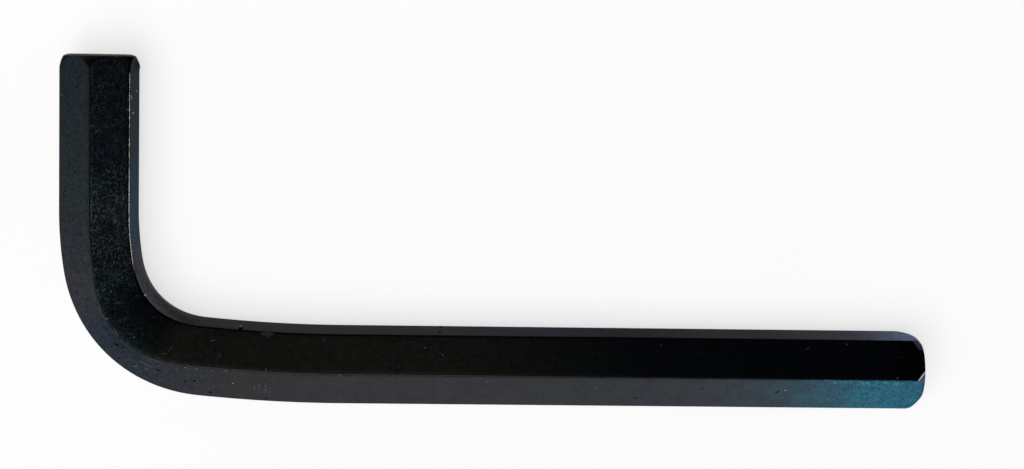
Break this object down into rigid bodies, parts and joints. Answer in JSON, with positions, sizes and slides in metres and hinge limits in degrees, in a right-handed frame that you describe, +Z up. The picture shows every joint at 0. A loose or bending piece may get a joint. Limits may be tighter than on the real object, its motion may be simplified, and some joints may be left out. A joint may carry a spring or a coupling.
{
  "type": "hex key",
  "caption": "L-shaped hex key: hexagonal steel bar bent once into a long arm and a short arm, with bevelled drive ends.",
  "frame": {"origin": "middle of the bounding box, on the surface that the key lies on", "axes": "+X along the long arm towards its end, +Y along the short arm towards its end, +Z up"},
  "size_m": [0.122, 0.0486, 0.0114],
  "materials": {
    "hex_key": "black oxide with blue-green temper tint, worn at the edges"
  },
  "bodies": {
    "root": {"hex_key": "hex_key"}
  },
  "joints": []
}
